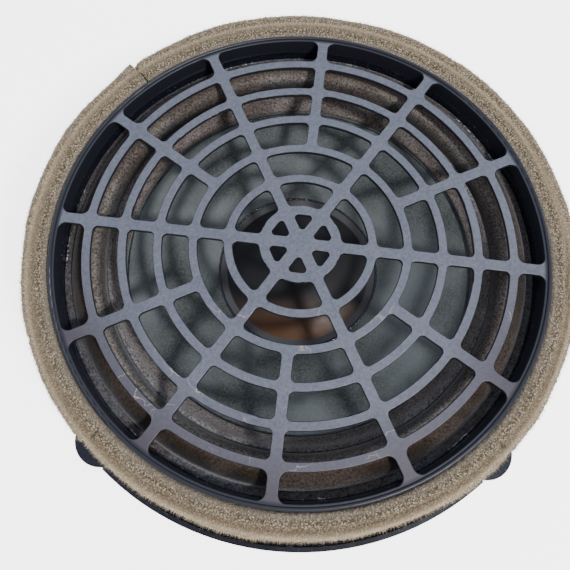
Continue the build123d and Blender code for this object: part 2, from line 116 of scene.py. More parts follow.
def make_camera():
    data = bpy.data.cameras.new("camera")
    data.lens = CAMERA_LENS
    data.sensor_width = 36
    data.clip_start = 0.01
    data.clip_end = 20
    camera = bpy.data.objects.new("camera", data)
    bpy.context.scene.collection.objects.link(camera)
    back = Vector((0, -math.cos(CAMERA_ELEVATION), math.sin(CAMERA_ELEVATION)))
    right = Vector((1, 0, 0))
    up = back.cross(right)
    c, s = math.cos(CAMERA_ROLL), math.sin(CAMERA_ROLL)
    rolled_right = right * c + up * s
    rolled_up = up * c - right * s
    place = CAMERA_TARGET + back * CAMERA_DISTANCE
    camera.matrix_world = Matrix(
        (
            (rolled_right.x, rolled_up.x, back.x, place.x),
            (rolled_right.y, rolled_up.y, back.y, place.y),
            (rolled_right.z, rolled_up.z, back.z, place.z),
            (0, 0, 0, 1),
        )
    )
    bpy.context.scene.camera = camera


def area_light(name, place, aim, size, power, colour):
    data = bpy.data.lights.new(name, "AREA")
    data.shape = "SQUARE"
    data.size = size
    data.energy = power
    data.color = colour
    lamp = bpy.data.objects.new(name, data)
    bpy.context.scene.collection.objects.link(lamp)
    lamp.location = place
    lamp.rotation_euler = (Vector(aim) - Vector(place)).to_track_quat("-Z", "Y").to_euler()


def make_world():
    """A bright soft sky: cool overhead and behind, dimmer and warm on the camera's side."""
    world = bpy.data.worlds.new("studio")
    world.use_nodes = True
    tree = world.node_tree
    background = tree.nodes["Background"]
    direction = tree.nodes.new("ShaderNodeTexCoord").outputs["Generated"]

    def along(axis, stops):
        node = tree.nodes.new("ShaderNodeVectorMath")
        node.operation = "DOT_PRODUCT"
        node.inputs[1].default_value = axis
        tree.links.new(direction, node.inputs[0])
        return ramp(tree, math_node(tree, "MULTIPLY_ADD", node.outputs["Value"], 0.5, 0.5), stops)

    height = along(
        (0, 0, 1),
        [(0.5, (0.42, 0.42, 0.44)), (0.72, (0.72, 0.79, 0.95)), (1.0, (0.74, 0.82, 1.0))],
    )
    front = along((0.12, -0.80, 0.58), [(0.84, grey(0)), (0.95, grey(1))])
    overhead = along((0, -0.12, 0.99), [(0.965, grey(0)), (0.997, grey(1))])
    sky = mix_colour(tree, math_node(tree, "MULTIPLY", front, 0.95), height, (0.32, 0.26, 0.22))
    sky = mix_colour(tree, math_node(tree, "MULTIPLY", overhead, 0.75), sky, (0.34, 0.28, 0.30))
    tree.links.new(sky, background.inputs["Color"])
    background.inputs["Strength"].default_value = SKY_STRENGTH
    bpy.context.scene.world = world


def make_lights():
    make_world()
    area_light("key", KEY_PLACE, (0, 0, 0), KEY_SIZE, KEY_POWER, (0.98, 0.98, 1.0))


def make_floor():
    z = bottom("yoke")
    mesh = bpy.data.meshes.new("floor")
    s = FLOOR_HALF
    mesh.from_pydata([(-s, -s, z), (s, -s, z), (s, s, z), (-s, s, z)], [], [(0, 1, 2, 3)])
    floor = bpy.data.objects.new("floor", mesh)
    bpy.context.scene.collection.objects.link(floor)
    material, _, shader = new_material("floor_white", (0.92, 0.92, 0.92), roughness=0.7)
    shader.inputs["Emission Color"].default_value = (1, 1, 1, 1)
    shader.inputs["Emission Strength"].default_value = FLOOR_GLOW
    mesh.materials.append(material)


# ---------------------------------------------------------------- material helpers
def new_material(name, colour, roughness=0.5, metallic=0.0, specular=0.5):
    material = bpy.data.materials.new(name)
    material.use_nodes = True
    tree = material.node_tree
    shader = tree.nodes["Principled BSDF"]
    shader.inputs["Base Color"].default_value = (*colour, 1)
    shader.inputs["Roughness"].default_value = roughness
    shader.inputs["Metallic"].default_value = metallic
    shader.inputs["Specular IOR Level"].default_value = specular
    return material, tree, shader


def place_coordinates(tree):
    return tree.nodes.new("ShaderNodeTexCoord").outputs["Object"]


def noise_node(tree, scale, detail=3.0, roughness=0.55):
    node = tree.nodes.new("ShaderNodeTexNoise")
    node.inputs["Scale"].default_value = scale
    node.inputs["Detail"].default_value = detail
    node.inputs["Roughness"].default_value = roughness
    tree.links.new(place_coordinates(tree), node.inputs["Vector"])
    return node.outputs["Fac"]


def cells_node(tree, scale):
    node = tree.nodes.new("ShaderNodeTexVoronoi")
    node.inputs["Scale"].default_value = scale
    node.inputs["Randomness"].default_value = 1.0
    tree.links.new(place_coordinates(tree), node.inputs["Vector"])
    return node.outputs["Distance"]


def ramp(tree, value, stops):
    node = tree.nodes.new("ShaderNodeValToRGB")
    elements = node.color_ramp.elements
    while len(elements) < len(stops):
        elements.new(0.5)
    for element, (place, colour) in zip(elements, stops):
        element.position = place
        element.color = (*colour, 1)
    tree.links.new(value, node.inputs["Fac"])
    return node.outputs["Color"]


def grey(level):
    return (level, level, level)


def mix_colour(tree, factor, first, second, mode="MIX"):
    node = tree.nodes.new("ShaderNodeMix")
    node.data_type = "RGBA"
    node.blend_type = mode
    for socket, value in ((node.inputs[0], factor), (node.inputs[6], first), (node.inputs[7], second)):
        if isinstance(value, (int, float)):
            socket.default_value = value
        elif isinstance(value, tuple):
            socket.default_value = (*value, 1)
        else:
            tree.links.new(value, socket)
    return node.outputs[2]


def math_node(tree, operation, *values):
    node = tree.nodes.new("ShaderNodeMath")
    node.operation = operation
    for socket, value in zip(node.inputs, values):
        if isinstance(value, (int, float)):
            socket.default_value = value
        else:
            tree.links.new(value, socket)
    return node.outputs[0]


def reach_from_axis(tree):
    """Distance of the shaded point from the Z axis, in metres."""
    split = tree.nodes.new("ShaderNodeSeparateXYZ")
    tree.links.new(place_coordinates(tree), split.inputs[0])
    squares = [math_node(tree, "MULTIPLY", split.outputs[i], split.outputs[i]) for i in (0, 1)]
    return math_node(tree, "SQRT", math_node(tree, "ADD", *squares))


def along_y(tree):
    """The shaded point's Y, in metres; negative on the camera's side."""
    split = tree.nodes.new("ShaderNodeSeparateXYZ")
    tree.links.new(place_coordinates(tree), split.inputs[0])
    return split.outputs[1]


def upward(tree):
    """1 on faces that look straight up, 0 on walls."""
    normal = tree.nodes.new("ShaderNodeNewGeometry").outputs["Normal"]
    split = tree.nodes.new("ShaderNodeSeparateXYZ")
    tree.links.new(normal, split.inputs[0])
    return split.outputs[2]


def banded(tree, bands):
    """Colour by distance from the Z axis, from (radius, colour) pairs in rising order."""
    low, high = bands[0][0], bands[-1][0]
    reach = reach_from_axis(tree)
    share = math_node(tree, "MULTIPLY_ADD", reach, 1 / (high - low), -low / (high - low))
    return ramp(tree, share, [((r - low) / (high - low), colour) for r, colour in bands])


def bump(tree, shader, height, distance, strength):
    """Bump from a height; a negative strength presses the high places in."""
    node = tree.nodes.new("ShaderNodeBump")
    node.inputs["Distance"].default_value = distance
    node.inputs["Strength"].default_value = abs(strength)
    node.invert = strength < 0
    tree.links.new(height, node.inputs["Height"])
    tree.links.new(node.outputs["Normal"], shader.inputs["Normal"])


def to_shader(tree, shader, colour, roughness=None):
    tree.links.new(colour, shader.inputs["Base Color"])
    if roughness is not None:
        tree.links.new(roughness, shader.inputs["Roughness"])


# ---------------------------------------------------------------- materials
def plastic(name, dark, light, rough_low, rough_high):
    """Moulded black plastic: faint clouding, fine texture, uneven gloss."""
    material, tree, shader = new_material(name, dark, specular=0.3)
    cloud = noise_node(tree, 55, 5)
    fine = noise_node(tree, 2600, 2)
    colour = mix_colour(tree, cloud, dark, light)
    dust = ramp(tree, noise_node(tree, 900, 2), [(0.66, grey(0)), (0.74, grey(1))])
    colour = mix_colour(tree, math_node(tree, "MULTIPLY", dust, 0.25), colour, (0.25, 0.24, 0.24))
    rough = ramp(tree, noise_node(tree, 140, 6), [(0.3, grey(rough_low)), (0.7, grey(rough_high))])
    to_shader(tree, shader, colour, rough)
    bump(tree, shader, fine, 0.03 * MM, 0.5)
    return material


def bent_cracks(tree):
    """Distance to the edges of large cells whose sides are bent by noise."""
    cracks = tree.nodes.new("ShaderNodeTexVoronoi")
    cracks.feature = "DISTANCE_TO_EDGE"
    cracks.inputs["Scale"].default_value = 85
    bent = tree.nodes.new("ShaderNodeVectorMath")
    bent.operation = "MULTIPLY_ADD"
    warp = tree.nodes.new("ShaderNodeTexNoise")
    warp.inputs["Scale"].default_value = 260
    tree.links.new(place_coordinates(tree), warp.inputs["Vector"])
    tree.links.new(warp.outputs["Color"], bent.inputs[0])
    bent.inputs[1].default_value = (0.006, 0.006, 0.0)
    tree.links.new(place_coordinates(tree), bent.inputs[2])
    tree.links.new(bent.outputs["Vector"], cracks.inputs["Vector"])
    return cracks.outputs["Distance"]


def grille_plastic():
    """Black plastic with a lighter dust film and painted sheen on faces that look up, pale specks, painted
    shade on the near side toward the rim and bent tan scratches.
    """
    material, tree, shader = new_material("grille_plastic", (0.012, 0.012, 0.016), specular=0.34)
    cloud = noise_node(tree, 30, 5)
    fine = ramp(tree, noise_node(tree, 800, 4, 0.8), [(0.36, grey(0)), (0.64, grey(1))])
    # Painted sheen: the lighter bluish film is partly dust and partly a painted stand-in for the sky's glare
    # on the top faces.
    film_and_sheen = mix_colour(tree, cloud, (0.060, 0.066, 0.084), (0.088, 0.096, 0.119))
    film_and_sheen = mix_colour(tree, math_node(tree, "MULTIPLY", fine, 0.5), film_and_sheen, (0.165, 0.172, 0.195))
    # Painted shade: toward the near side and the rim the top faces turn darker and purple, standing in for
    # weaker glare there.
    nearness = math_node(tree, "MULTIPLY_ADD", along_y(tree), -5.0, 0.5)
    near_half = ramp(tree, nearness, [(0.5, grey(0)), (0.7, grey(1))])
    outer_part = banded(
        tree,
        [(0.0, grey(0)), (0.66 * RIM_R, grey(0)), (0.95 * RIM_R, grey(1)), (RIM_R, grey(1))],
    )
    near_shade = math_node(tree, "MULTIPLY", near_half, outer_part)
    film_and_sheen = mix_colour(tree, math_node(tree, "MULTIPLY", near_shade, 0.85), film_and_sheen, (0.042, 0.032, 0.038))
    specks = ramp(tree, cells_node(tree, 300), [(0.0, grey(1)), (0.06, grey(0))])
    gate = ramp(tree, noise_node(tree, 70, 2), [(0.52, grey(0)), (0.62, grey(1))])
    specks = math_node(tree, "MULTIPLY", specks, gate)
    film_and_sheen = mix_colour(tree, math_node(tree, "MULTIPLY", specks, 0.6), film_and_sheen, (0.45, 0.42, 0.40))
    scratch = ramp(tree, bent_cracks(tree), [(0.003, grey(1)), (0.016, grey(0))])
    worn = ramp(tree, noise_node(tree, 55, 3), [(0.54, grey(0)), (0.62, grey(1))])
    scratch = math_node(tree, "MULTIPLY", scratch, worn)
    scratch = math_node(tree, "MULTIPLY", scratch, near_half)
    film_and_sheen = mix_colour(tree, math_node(tree, "MULTIPLY", scratch, 0.6), film_and_sheen, (0.46, 0.37, 0.29))
    # Painted sheen and dust: only faces that look up, inside the rim bead, take the lighter film.
    dust_and_sheen = ramp(tree, upward(tree), [(0.75, grey(0)), (0.97, grey(1))])
    flat = banded(
        tree,
        [
            (0.0, grey(1)),
            (RIM_R - 3.2 * MM, grey(1)),
            (RIM_R - 2.2 * MM, grey(0.04)),
            (RIM_R, grey(0.04)),
        ],
    )
    dust_and_sheen = math_node(tree, "MULTIPLY", dust_and_sheen, flat)
    base = mix_colour(tree, dust_and_sheen, (0.011, 0.012, 0.017), film_and_sheen)
    film_rough = ramp(tree, noise_node(tree, 80, 6), [(0.3, grey(0.36)), (0.7, grey(0.46))])
    rough = mix_colour(tree, dust_and_sheen, grey(0.4), film_rough)
    to_shader(tree, shader, base, rough)
    bump(tree, shader, fine, 0.035 * MM, 0.5)
    return material


def foam_material():
    """Tan open-cell foam: dark pores between pale struts, greyer at the rim, with painted shade in the
    groove.
    """
    material, tree, shader = new_material("foam", (0.3, 0.25, 0.17), roughness=0.95, specular=0.1)
    pores = cells_node(tree, 1250)
    fine = noise_node(tree, 2000, 2, 0.8)
    cloud = noise_node(tree, 55, 4)
    width = FOAM_OUT - FOAM_IN
    bands = banded(
        tree,
        [
            (FOAM_IN, (0.235, 0.200, 0.160)),
            (FOAM_IN + 0.22 * width, (0.450, 0.385, 0.290)),
            (FOAM_IN + 0.45 * width, (0.600, 0.500, 0.330)),
            # Painted shade: this darker band lies in the groove.
            (FOAM_IN + 0.62 * width, (0.275, 0.200, 0.118)),
            (FOAM_IN + 0.80 * width, (0.380, 0.290, 0.175)),
            (FOAM_IN + 0.92 * width, (0.700, 0.570, 0.375)),
            (FOAM_OUT, (0.500, 0.400, 0.255)),
        ],
    )
    pale = mix_colour(tree, math_node(tree, "MULTIPLY", cloud, 0.5), bands, (0.33, 0.26, 0.17))
    struts = ramp(tree, math_node(tree, "MULTIPLY_ADD", pores, 0.5, fine), [(0.58, grey(0)), (0.74, grey(1))])
    holes = banded(
        tree,
        [
            (FOAM_IN, grey(0.5)),
            (FOAM_IN + 0.4 * width, grey(0.95)),
            (FOAM_IN + 0.85 * width, grey(0.5)),
            (FOAM_OUT, grey(0.85)),
        ],
    )
    colour = mix_colour(tree, math_node(tree, "MULTIPLY", struts, holes), pale, (0.030, 0.020, 0.011))
    to_shader(tree, shader, colour)
    bump(tree, shader, struts, 0.5 * MM, -0.8)
    shader.inputs["Sheen Weight"].default_value = 0.35
    shader.inputs["Sheen Roughness"].default_value = 0.5
    shader.inputs["Sheen Tint"].default_value = (1.0, 0.9, 0.74, 1)
    return material


def pressed_board():
    """Brown pressed fibre board in two tones."""
    dark, light = (0.16, 0.07, 0.035), (0.32, 0.16, 0.08)
    material, tree, shader = new_material("board", light, roughness=0.9, specular=0.2)
    grain = noise_node(tree, 900, 4, 0.7)
    cloud = noise_node(tree, 70, 4)
    pale = mix_colour(tree, cloud, light, tuple(0.72 * c for c in light))
    colour = mix_colour(tree, ramp(tree, grain, [(0.38, grey(0)), (0.62, grey(1))]), dark, pale)
    to_shader(tree, shader, colour)
    bump(tree, shader, grain, 0.05 * MM, 0.8)
    shader.inputs["Sheen Weight"].default_value = 0.3
    shader.inputs["Sheen Roughness"].default_value = 0.5
    return material


def surround_material():
    """Fine foam: brown-grey roll slope, a grey ridge and a brown-grey lap, with painted shade in the valley,
    over the roll's outer half and on the flange.
    """
    material, tree, shader = new_material("surround_foam", (0.1, 0.09, 0.08), roughness=0.9, specular=0.15)
    grain = noise_node(tree, 1150, 4, 0.8)
    cloud = noise_node(tree, 38, 3)
    ridge = RIDGE_R
    # Painted shade by radius: near-black in the valley beside the ridge and over the roll's outer half,
    # darker grey on the flange.
    tone = banded(
        tree,
        [
            (CONE_EDGE_R - 4 * MM, (0.062, 0.052, 0.047)),
            (ridge - 1.2 * MM, (0.110, 0.096, 0.090)),
            (ridge - 0.6 * MM, (0.095, 0.090, 0.090)),
            (ridge + 0.3 * MM, (0.100, 0.100, 0.106)),
            (ridge + 1.0 * MM, (0.003, 0.003, 0.004)),
            (ridge + 2.2 * MM, (0.030, 0.029, 0.028)),
            (ridge + 4.0 * MM, (0.105, 0.094, 0.084)),
            (ridge + 7.0 * MM, (0.042, 0.032, 0.023)),
            (ridge + 9.0 * MM, (0.014, 0.008, 0.004)),
            (ridge + 11.5 * MM, (0.006, 0.004, 0.002)),
            (ridge + 13.2 * MM, (0.002, 0.002, 0.002)),
            (ridge + 14.0 * MM, (0.055, 0.055, 0.060)),
            (WALL_R, (0.045, 0.045, 0.050)),
        ],
    )
    patch = ramp(tree, cloud, [(0.42, grey(0)), (0.58, grey(1))])
    tone = mix_colour(tree, math_node(tree, "MULTIPLY", patch, 0.6), tone, (0.035, 0.026, 0.021))
    speckle = ramp(tree, grain, [(0.36, grey(0)), (0.64, grey(1))])
    bright = mix_colour(tree, 1.0, tone, (2.2, 2.15, 2.1), "MULTIPLY")
    dark = mix_colour(tree, 1.0, tone, (0.16, 0.14, 0.13), "MULTIPLY")
    to_shader(tree, shader, mix_colour(tree, speckle, dark, bright))
    bump(tree, shader, grain, 0.35 * MM, 0.8)
    shader.inputs["Sheen Weight"].default_value = 0.2
    shader.inputs["Sheen Roughness"].default_value = 0.5
    return material


def cone_paper():
    """Grey-green pressed pulp with soft mottling and short fibres."""
    material, tree, shader = new_material("cone_paper", (0.13, 0.15, 0.145), roughness=0.62, specular=0.4)
    blot = noise_node(tree, 30, 3)
    fibre = noise_node(tree, 1100, 4, 0.7)
    tone = ramp(tree, blot, [(0.40, (0.020, 0.023, 0.021)), (0.64, (0.076, 0.088, 0.085))])
    pale = ramp(tree, fibre, [(0.42, grey(0)), (0.66, grey(1))])
    colour = mix_colour(tree, math_node(tree, "MULTIPLY", pale, 0.45), tone, (0.105, 0.119, 0.116))
    to_shader(tree, shader, colour)
    bump(tree, shader, fibre, 0.2 * MM, 0.7)
    return material


def cap_material():
    """Satin dark dome with a painted brown reflection on its near flank, and a grey flange."""
    material, tree, shader = new_material("dust_cap", (0.01, 0.01, 0.011), roughness=0.4, specular=0.14)
    cloud = noise_node(tree, 60, 4)
    colour = mix_colour(tree, cloud, (0.010, 0.010, 0.011), (0.020, 0.019, 0.019))
    # Painted reflection: the near flank is tinted brown, standing in for a warm surrounding mirrored in the
    # dome.
    nearness = math_node(tree, "MULTIPLY_ADD", along_y(tree), -20.0, 0.2)
    brown_reflection = ramp(tree, nearness, [(0.45, grey(0)), (0.8, grey(1))])
    colour = mix_colour(tree, math_node(tree, "MULTIPLY", brown_reflection, 0.8), colour, (0.075, 0.034, 0.014))
    edge = banded(
        tree,
        [(0.0, grey(0)), (CAP_R - 3.2 * MM, grey(0)), (CAP_R - 2.6 * MM, grey(1)), (CAP_R, grey(1))],
    )
    colour = mix_colour(tree, edge, colour, (0.05, 0.05, 0.052))
    rough = ramp(tree, noise_node(tree, 220, 4), [(0.3, grey(0.40)), (0.7, grey(0.52))])
    to_shader(tree, shader, colour, rough)
    bump(tree, shader, noise_node(tree, 900, 2), 0.05 * MM, 0.5)
    return material


def glue_material():
    """Glossy black adhesive with soft lumps."""
    material, tree, shader = new_material("adhesive", (0.016, 0.016, 0.02), roughness=0.22, specular=0.6)
    lumps = noise_node(tree, 420, 3)
    colour = ramp(tree, lumps, [(0.45, (0.004, 0.004, 0.006)), (0.7, (0.015, 0.015, 0.018))])
    to_shader(tree, shader, colour)
    bump(tree, shader, lumps, 0.12 * MM, 0.6)
    return material


def glue_residue():
    """Dark adhesive with pale dried crumbs on it."""
    material, tree, shader = new_material("glue_residue", (0.01, 0.01, 0.012), roughness=0.4, specular=0.5)
    crumbs = ramp(tree, noise_node(tree, 620, 3), [(0.52, grey(0)), (0.60, grey(1))])
    gate = ramp(tree, noise_node(tree, 60, 3), [(0.42, grey(0)), (0.6, grey(1))])
    crumbs = math_node(tree, "MULTIPLY", crumbs, gate)
    to_shader(tree, shader, mix_colour(tree, crumbs, (0.005, 0.005, 0.007), (0.42, 0.42, 0.43)))
    bump(tree, shader, crumbs, 0.3 * MM, 0.8)
    return material


def metal(name, colour, low, high, scale=300):
    material, tree, shader = new_material(name, colour, metallic=1.0)
    cloud = noise_node(tree, scale, 5)
    tone = mix_colour(tree, cloud, tuple(0.75 * c for c in colour), colour)
    rough = ramp(tree, noise_node(tree, scale * 0.6, 6), [(0.3, grey(low)), (0.7, grey(high))])
    to_shader(tree, shader, tone, rough)
    bump(tree, shader, noise_node(tree, scale * 8, 2), 0.02 * MM, 0.4)
    return material


def ferrite():
    material, tree, shader = new_material("ferrite", (0.05, 0.05, 0.053), roughness=0.65, specular=0.4)
    grain = noise_node(tree, 700, 5, 0.7)
    colour = ramp(tree, grain, [(0.35, (0.030, 0.030, 0.033)), (0.7, (0.085, 0.085, 0.09))])
    to_shader(tree, shader, colour)
    bump(tree, shader, grain, 0.1 * MM, 0.7)
    return material


def woven(name, dark, light, pitch):
    """Impregnated cloth: two crossing thread waves."""
    material, tree, shader = new_material(name, light, roughness=0.75, specular=0.3)
    heights = []
    for direction in ("X", "Y"):
        wave = tree.nodes.new("ShaderNodeTexWave")
        wave.bands_direction = direction
        wave.inputs["Scale"].default_value = 1 / pitch / TAU * 2
        wave.inputs["Distortion"].default_value = 0.8
        tree.links.new(place_coordinates(tree), wave.inputs["Vector"])
        heights.append(wave.outputs["Fac"])
    threads = math_node(tree, "MULTIPLY", heights[0], heights[1])
    colour = mix_colour(tree, ramp(tree, threads, [(0.1, grey(0)), (0.6, grey(1))]), dark, light)
    to_shader(tree, shader, colour)
    bump(tree, shader, threads, 0.15 * MM, 0.8)
    return material


def wire(name, colour, pitch):
    """Close turns of wire round the Z axis."""
    material, tree, shader = new_material(name, colour, roughness=0.35, metallic=1.0)
    wave = tree.nodes.new("ShaderNodeTexWave")
    wave.bands_direction = "Z"
    wave.inputs["Scale"].default_value = 1 / pitch / TAU * 2
    tree.links.new(place_coordinates(tree), wave.inputs["Vector"])
    tone = mix_colour(tree, wave.outputs["Fac"], tuple(0.4 * c for c in colour), colour)
    to_shader(tree, shader, tone)
    bump(tree, shader, wave.outputs["Fac"], 0.1 * MM, 0.8)
    return material


def dress(node, material):
    mesh = nodes[node].data
    mesh.materials.clear()
    mesh.materials.append(material)


# ---------------------------------------------------------------- mesh helpers
def grid_mesh(name, points, material, closed_rows=True, closed_columns=True):
    """A mesh from points[row, column], each row a loop round the Z axis."""
    rows, columns = points.shape[:2]
    index = np.arange(rows * columns).reshape(rows, columns)
    right = np.roll(index, -1, axis=1) if closed_columns else index[:, 1:]
    left = index if closed_columns else index[:, :-1]
    if closed_rows:
        up_left, up_right = np.roll(left, -1, axis=0), np.roll(right, -1, axis=0)
    else:
        left, right, up_left, up_right = left[:-1], right[:-1], left[1:], right[1:]
    faces = np.stack([left, right, up_right, up_left], -1).reshape(-1, 4)
    mesh = bpy.data.meshes.new(name)
    mesh.from_pydata(points.reshape(-1, 3).tolist(), [], faces.tolist())
    mesh.polygons.foreach_set("use_smooth", [True] * len(mesh.polygons))
    mesh.update()
    piece = bpy.data.objects.new(name, mesh)
    bpy.context.scene.collection.objects.link(piece)
    mesh.materials.append(material)
    return piece


def turned_points(profile, angles):
    """Points (row, column) from profile (radius, z) pairs turned to each angle."""
    r = profile[:, 0][:, None]
    z = profile[:, 1][:, None] * np.ones((1, len(angles)))
    return np.stack([r * np.cos(angles), r * np.sin(angles), z], -1)


def blend_radially(piece):
    """Bakes the piece's placement into its mesh.
    """
    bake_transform(piece)


def arc(centre, radius, start, end, count):
    t = np.radians(np.linspace(start, end, count))
    return np.stack([centre[0] + radius * np.cos(t), centre[1] + radius * np.sin(t)], -1)


# ---------------------------------------------------------------- foam strip
SEAM = math.radians(132.8)
FOAM_MEAN = 112.1 * MM
FOAM_LEAN = 2.3 * MM
FOAM_DENT = 2.2 * MM
FOAM_CORNER = 2.6 * MM
FOAM_COLUMNS = 1500
FOAM_TEARS = ((202, 1.8), (226, 2.8), (315, 2.2), (344, 1.2))     # degrees and depth in mm
FUZZ_COUNT = 60000
FUZZ_LENGTH = 1.9 * MM
FUZZ_WIDTH = 0.055 * MM


def bumps(points, scale, seed, octaves=2):
    """Smooth noise at each point, about -1 to 1."""
    offset = Vector((seed * 13.7, seed * 5.1, seed * 9.3))
    out = np.empty(len(points))
    for i, p in enumerate(points):
        v = Vector(p) * scale + offset
        out[i] = noise.noise(v) + (0.5 * noise.noise(v * 2.1) if octaves > 1 else 0)
    return out


def near(angles, degrees_at, width):
    """1 at one angle, falling smoothly to 0 over width degrees."""
    apart = np.abs((np.degrees(angles) - degrees_at + 180) % 360 - 180)
    return np.clip(1 - apart / width, 0, 1) ** 2


def make_foam():
    columns = FOAM_COLUMNS
    angles = SEAM + np.linspace(0.005, TAU - 0.005, columns)
    height, width = FOAM_TOP - FOAM_LOW, FOAM_OUT - FOAM_IN
    corner = FOAM_CORNER
    outline = np.concatenate(
        [
            arc((width - corner, height - corner), corner, 0, 90, 8),
            np.stack([np.linspace(width - corner, corner * 0.6, 14)[1:-1], np.full(12, height)], -1),
            arc((corner * 0.6, height - corner * 0.6), corner * 0.6, 90, 180, 6),
            np.stack([np.zeros(10), np.linspace(height - corner, corner, 12)[1:-1]], -1),
            arc((corner * 0.5, corner * 0.5), corner * 0.5, 180, 270, 4),
            np.stack([np.linspace(corner, width - corner, 8)[1:-1], np.zeros(6)], -1),
            arc((width - corner, corner), corner, 270, 360, 6),
            np.stack([np.full(20, width), np.linspace(corner, height - corner, 22)[1:-1]], -1),
        ]
    )
    across, up = outline[:, 0][:, None], outline[:, 1][:, None]
    start = np.clip(1 - (angles - SEAM) / math.radians(8), 0, 1) ** 2
    end = np.clip(1 - (SEAM + TAU - angles) / math.radians(2.5), 0, 1) ** 2
    reach = FOAM_MEAN + FOAM_LEAN * np.sin(angles) - FOAM_DENT * near(angles, -6, 15)
    reach = reach + 1.0 * MM * near(angles, 38, 40) + 1.2 * MM * start - 1.0 * MM * end
    reach = reach + 0.25 * MM * np.sin(angles * 7 + 1.0) + 0.2 * MM * np.sin(angles * 17)
    share = across / width
    radius = FOAM_IN + (reach - FOAM_IN) * share
    level = (up > height * 0.85).astype(float)
    z = FOAM_LOW + up + np.zeros(columns)
    groove = np.exp(-(((share - 0.62) / 0.09) ** 2)) * level
    ridge = np.exp(-(((share - 0.42) / 0.14) ** 2)) * level
    inside = np.exp(-((share / 0.16) ** 2)) * level
    groove_side = 0.45 + np.clip(near(angles, 20, 75) + near(angles, 205, 70), 0, 1) * 0.55
    z = z - 1.5 * MM * groove * groove_side + 0.5 * MM * ridge - 0.6 * MM * inside
    lift = (up / height) ** 2
    z = z + lift * (0.25 * MM * np.sin(angles * 5 + 2) + 0.6 * MM * start - 1.1 * MM * end)
    for at, depth in FOAM_TEARS:
        tear = near(angles, at, 1.3)
        z = z - depth * MM * tear * np.exp(-(((share - 0.5) / 0.22) ** 2)) * level
        radius = radius - 0.3 * depth * MM * tear * (share > 0.9) * (up > height * 0.4)
    points = np.stack([radius * np.cos(angles), radius * np.sin(angles), z], -1)
    flat = points.reshape(-1, 3)
    pores = bumps(flat, 1300, 1)
    lumps = bumps(flat, 150, 2, 1)
    push = (pores * 0.40 + lumps * 0.25) * MM
    middle = np.stack([np.cos(angles), np.sin(angles)], -1) * (FOAM_IN + width / 2)
    centre = np.concatenate([middle, np.full((columns, 1), (FOAM_LOW + FOAM_TOP) / 2)], 1)
    away = points - centre[None]
    away[..., 2] *= (width / height) ** 2
    away /= np.linalg.norm(away, axis=-1, keepdims=True)
    outside = (share > 0.02).astype(float) * np.ones_like(z)
    points = points + away * (push.reshape(z.shape) * outside)[..., None]
    make_fuzz(points, away, share, up, height)
    piece = grid_mesh("foam_strip", points, foam_material(), closed_columns=False)
    cap_ends(piece, len(outline), columns)
    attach(piece, "frame")
    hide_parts("foam_gasket")


def make_fuzz(points, away, share, up, height):
    """Short pale struts standing out of the strip's skin, so that its outline is soft."""
    rng = np.random.default_rng(11)
    rows, columns = points.shape[:2]
    weight = ((share > 0.12) & (up > height * 0.25)).astype(float)[:, 0]
    picks = rng.choice(rows, FUZZ_COUNT, p=weight / weight.sum())
    around = rng.integers(0, columns, FUZZ_COUNT)
    root = points[picks, around]
    lean = away[picks, around] + rng.normal(0, 0.55, (FUZZ_COUNT, 3))
    lean /= np.linalg.norm(lean, axis=1, keepdims=True)
    side = np.cross(lean, rng.normal(0, 1, (FUZZ_COUNT, 3)))
    side *= FUZZ_WIDTH / np.linalg.norm(side, axis=1, keepdims=True)
    length = rng.uniform(0.35, 1.0, (FUZZ_COUNT, 1)) * FUZZ_LENGTH
    sunk = root - 0.2 * MM * lean
    corners = np.stack([sunk - side, sunk + side, root + lean * length], 1)
    mesh = bpy.data.meshes.new("foam_fuzz")
    faces = np.arange(3 * FUZZ_COUNT).reshape(-1, 3)
    mesh.from_pydata(corners.reshape(-1, 3).tolist(), [], faces.tolist())
    piece = bpy.data.objects.new("foam_fuzz", mesh)
    bpy.context.scene.collection.objects.link(piece)
    material, tree, shader = new_material("foam_struts", (0.38, 0.32, 0.22), roughness=0.9, specular=0.1)
    tone = mix_colour(tree, noise_node(tree, 400, 3), (0.26, 0.20, 0.12), (0.66, 0.54, 0.36))
    to_shader(tree, shader, tone)
    mesh.materials.append(material)
    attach(piece, "frame")


def cap_ends(piece, rows, columns):
    """Closes the two cut ends of the strip with one face each."""
    mesh = piece.data
    first = [row * columns for row in range(rows)]
    last = [row * columns + columns - 1 for row in range(rows)]
    co = [tuple(v.co) for v in mesh.vertices]
    faces = [tuple(p.vertices) for p in mesh.polygons] + [tuple(reversed(first)), tuple(last)]
    mesh.clear_geometry()
    mesh.from_pydata(co, [], faces)
    mesh.polygons.foreach_set("use_smooth", [True] * (len(faces) - 2) + [False, False])
    mesh.update()


